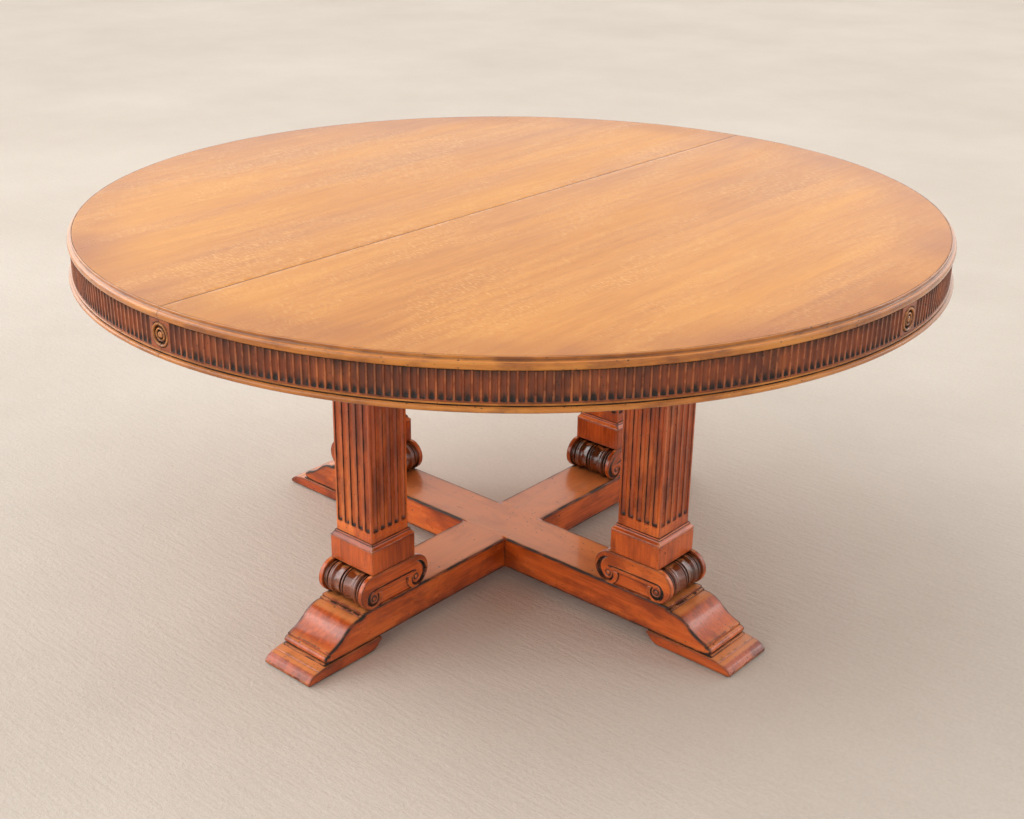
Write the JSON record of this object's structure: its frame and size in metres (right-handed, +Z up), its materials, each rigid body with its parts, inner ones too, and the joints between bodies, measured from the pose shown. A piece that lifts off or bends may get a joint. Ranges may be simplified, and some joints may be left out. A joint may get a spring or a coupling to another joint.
{
  "type": "round extension pedestal table",
  "caption": "Round wooden dining table whose veneered top parts at the middle and slides open over a cross base with scroll brackets and fluted square columns.",
  "frame": {"origin": "on the floor under the centre of the round top", "axes": "+Z up; one arm of the cross base along each of +X, -X, +Y and -Y; the top's seam lies in the YZ plane and half a slides towards +X"},
  "size_m": [1.6254, 1.6258, 0.762],
  "materials": {
    "oak_top": "golden quarter-sawn oak veneer, satin lacquer",
    "stained_wood": "red-brown stain with dark glaze in the recesses, distressed, satin lacquer",
    "plain_beech": "plain planed beech, waxed",
    "steel": "zinc plated",
    "nylon": "moulded black nylon",
    "brass": "brushed brass"
  },
  "bodies": {
    "base": {"beam_x": "stained_wood", "beam_y": "stained_wood", "bearer_x": "plain_beech", "bearer_y": "plain_beech", "column_back": "stained_wood", "column_front": "stained_wood", "column_left": "stained_wood", "column_right": "stained_wood", "cross_bearer_left": "plain_beech", "cross_bearer_right": "plain_beech", "fixed_rail_back": "plain_beech", "fixed_rail_front": "plain_beech", "floor_glides": "nylon", "foot_pads": "stained_wood", "frame_screws": "steel", "pinion_pins": "steel", "plinth_back": "stained_wood", "plinth_front": "stained_wood", "plinth_left": "stained_wood", "plinth_mouldings": "stained_wood", "plinth_right": "stained_wood", "rod_nuts": "steel", "scroll_back": "stained_wood", "scroll_front": "stained_wood", "scroll_left": "stained_wood", "scroll_right": "stained_wood", "scroll_rolls": "stained_wood", "tie_rods": "steel"},
    "half_a": {"apron_a": "stained_wood", "batten_a": "plain_beech", "edge_moulding_a": "stained_wood", "glue_blocks_a": "plain_beech", "lower_moulding_a": "stained_wood", "panel_screws_a": "steel", "racks_a": "nylon", "rosettes_a": "stained_wood", "slide_back_a": "plain_beech", "slide_front_a": "plain_beech", "stop_blocks_a": "plain_beech", "top_panel_a": "oak_top", "seam_pins": "plain_beech", "latch_pivots": "brass"},
    "half_b": {"apron_b": "stained_wood", "batten_b": "plain_beech", "edge_moulding_b": "stained_wood", "glue_blocks_b": "plain_beech", "lower_moulding_b": "stained_wood", "panel_screws_b": "steel", "racks_b": "nylon", "rosettes_b": "stained_wood", "slide_back_b": "plain_beech", "slide_front_b": "plain_beech", "stop_blocks_b": "plain_beech", "top_panel_b": "oak_top", "latch_keepers": "brass"},
    "pinion_back": {"pinion_back": "nylon"},
    "pinion_front": {"pinion_front": "nylon"},
    "latch_back": {"latch_back": "brass"},
    "latch_front": {"latch_front": "brass"}
  },
  "joints": [
    {"name": "half_a_slide", "type": "slide", "parent": "base", "child": "half_a", "axis": [1, 0, 0], "range_m": [0, 0.254]},
    {"name": "half_b_slide", "type": "slide", "parent": "base", "child": "half_b", "axis": [-1, 0, 0], "range_m": [0, 0.254]},
    {"name": "pinion_back_spin", "type": "hinge", "parent": "base", "child": "pinion_back", "pos_m": [0, 0.26, 0.719], "axis": [0, 0, 1], "range_deg": [0, 809]},
    {"name": "pinion_front_spin", "type": "hinge", "parent": "base", "child": "pinion_front", "pos_m": [0, -0.26, 0.719], "axis": [0, 0, 1], "range_deg": [0, 809]},
    {"name": "latch_back_turn", "type": "hinge", "parent": "half_a", "child": "latch_back", "pos_m": [0.042, 0.48, 0.7305], "axis": [0, 0, 1], "range_deg": [0, 90]},
    {"name": "latch_front_turn", "type": "hinge", "parent": "half_a", "child": "latch_front", "pos_m": [0.042, -0.48, 0.7305], "axis": [0, 0, -1], "range_deg": [0, 90]}
  ],
  "couplings": [
    {"joint": "half_b_slide", "follows": "half_a_slide", "ratio": 1},
    {"joint": "pinion_back_spin", "follows": "half_a_slide", "rad_per_m": 55.556},
    {"joint": "pinion_front_spin", "follows": "half_a_slide", "rad_per_m": 55.556}
  ]
}
